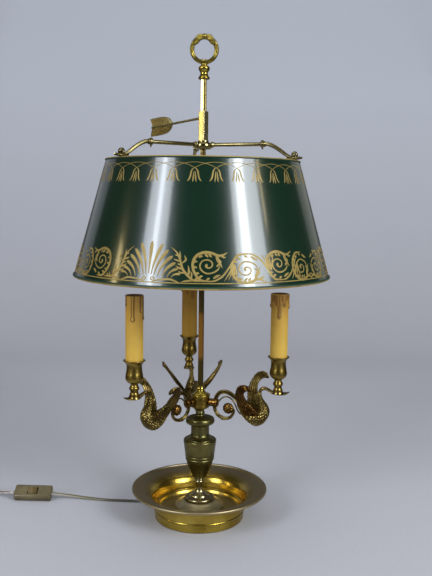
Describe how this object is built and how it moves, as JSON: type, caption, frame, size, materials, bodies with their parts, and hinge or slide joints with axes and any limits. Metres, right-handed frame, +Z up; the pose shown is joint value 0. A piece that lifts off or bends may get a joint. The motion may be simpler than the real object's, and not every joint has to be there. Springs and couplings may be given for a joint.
{
  "type": "bouillotte lamp",
  "caption": "Brass table lamp with a bowl foot, swan candle arms and a lacquered tin shade that slides on a square rod and is held by an arrow-shaped screw",
  "frame": {"origin": "centre of the round foot's underside, on the table", "axes": "Z up along the column, X to the right and Y away from the viewer"},
  "size_m": [0.5848, 0.362, 0.6923],
  "materials": {
    "aged_brass": "aged, satin",
    "gilt_brass": "polished, worn",
    "dull_brass": "tarnished",
    "steel": "zinc plated",
    "iron": "as cast",
    "felt": "wool felt",
    "lacquered_tin": "green lacquer with gilt ornament",
    "candle_resin": "cream resin, stained",
    "phenolic": "moulded",
    "contact_brass": "bright",
    "relief_rubber": "soft",
    "flex": "translucent gold flex",
    "black_tie": "plain",
    "moulded_olive": "olive-brown moulding",
    "rocker_amber": "amber moulding",
    "plug_tan": "gold moulding",
    "plated_pin": "nickel plated"
  },
  "bodies": {
    "stand": {"felt_pad": "felt", "foot_ring": "gilt_brass", "base_weight": "iron", "bowl": "gilt_brass", "plinth": "dull_brass", "base_screws": "steel", "strain_relief": "relief_rubber", "tie_tube": "steel", "tie_nut": "steel", "pedestal": "aged_brass", "vase": "aged_brass", "column_neck": "aged_brass", "cushion": "aged_brass", "hub_body": "gilt_brass", "hub_cap": "gilt_brass", "square_rod": "gilt_brass", "swan_arm_1": "aged_brass", "swan_arm_2": "aged_brass", "swan_arm_3": "aged_brass", "wings_1": "aged_brass", "wings_2": "aged_brass", "wings_3": "aged_brass", "arm_screws": "steel", "candle_cup_1": "gilt_brass", "candle_cup_2": "gilt_brass", "candle_cup_3": "gilt_brass", "candle_nipples": "steel", "candle_sleeve_1": "candle_resin", "candle_sleeve_2": "candle_resin", "candle_sleeve_3": "candle_resin", "lampholder_1": "phenolic", "lampholder_2": "phenolic", "lampholder_3": "phenolic", "holder_brackets": "steel", "holder_contacts": "contact_brass", "finial_neck": "gilt_brass", "finial_ring": "gilt_brass", "inner_lead": "flex", "lamp_cord": "flex", "plug_cord": "flex", "cord_coil": "flex", "coil_tie": "black_tie", "plug_body": "plug_tan", "plug_pins": "plated_pin", "switch_top": "moulded_olive", "switch_base": "moulded_olive", "switch_screws": "steel"},
    "shade_group": {"shade_shell": "lacquered_tin", "carrier_collar": "aged_brass", "carrier_bars": "aged_brass", "carrier_end_1": "aged_brass", "carrier_end_2": "aged_brass", "carrier_end_3": "aged_brass", "shade_nuts": "steel"},
    "arrow": {"arrow_screw": "aged_brass"},
    "rocker": {"switch_rocker": "rocker_amber"}
  },
  "joints": [
    {"name": "shade_slide", "type": "slide", "parent": "stand", "child": "shade_group", "axis": [0, 0, 1], "range_m": [-0.09, 0.042]},
    {"name": "arrow_turn", "type": "hinge", "parent": "shade_group", "child": "arrow", "pos_m": [-0.00269, 0.00223, 0.577], "axis": [-0.767, 0.6345, -0.0958], "range_deg": [0, 360]},
    {"name": "switch_rock", "type": "hinge", "parent": "stand", "child": "rocker", "pos_m": [-0.2566, 0.0534, 0.01273], "axis": [0.0439, 0.8375, 0.5446], "range_deg": [0, 16]}
  ]
}
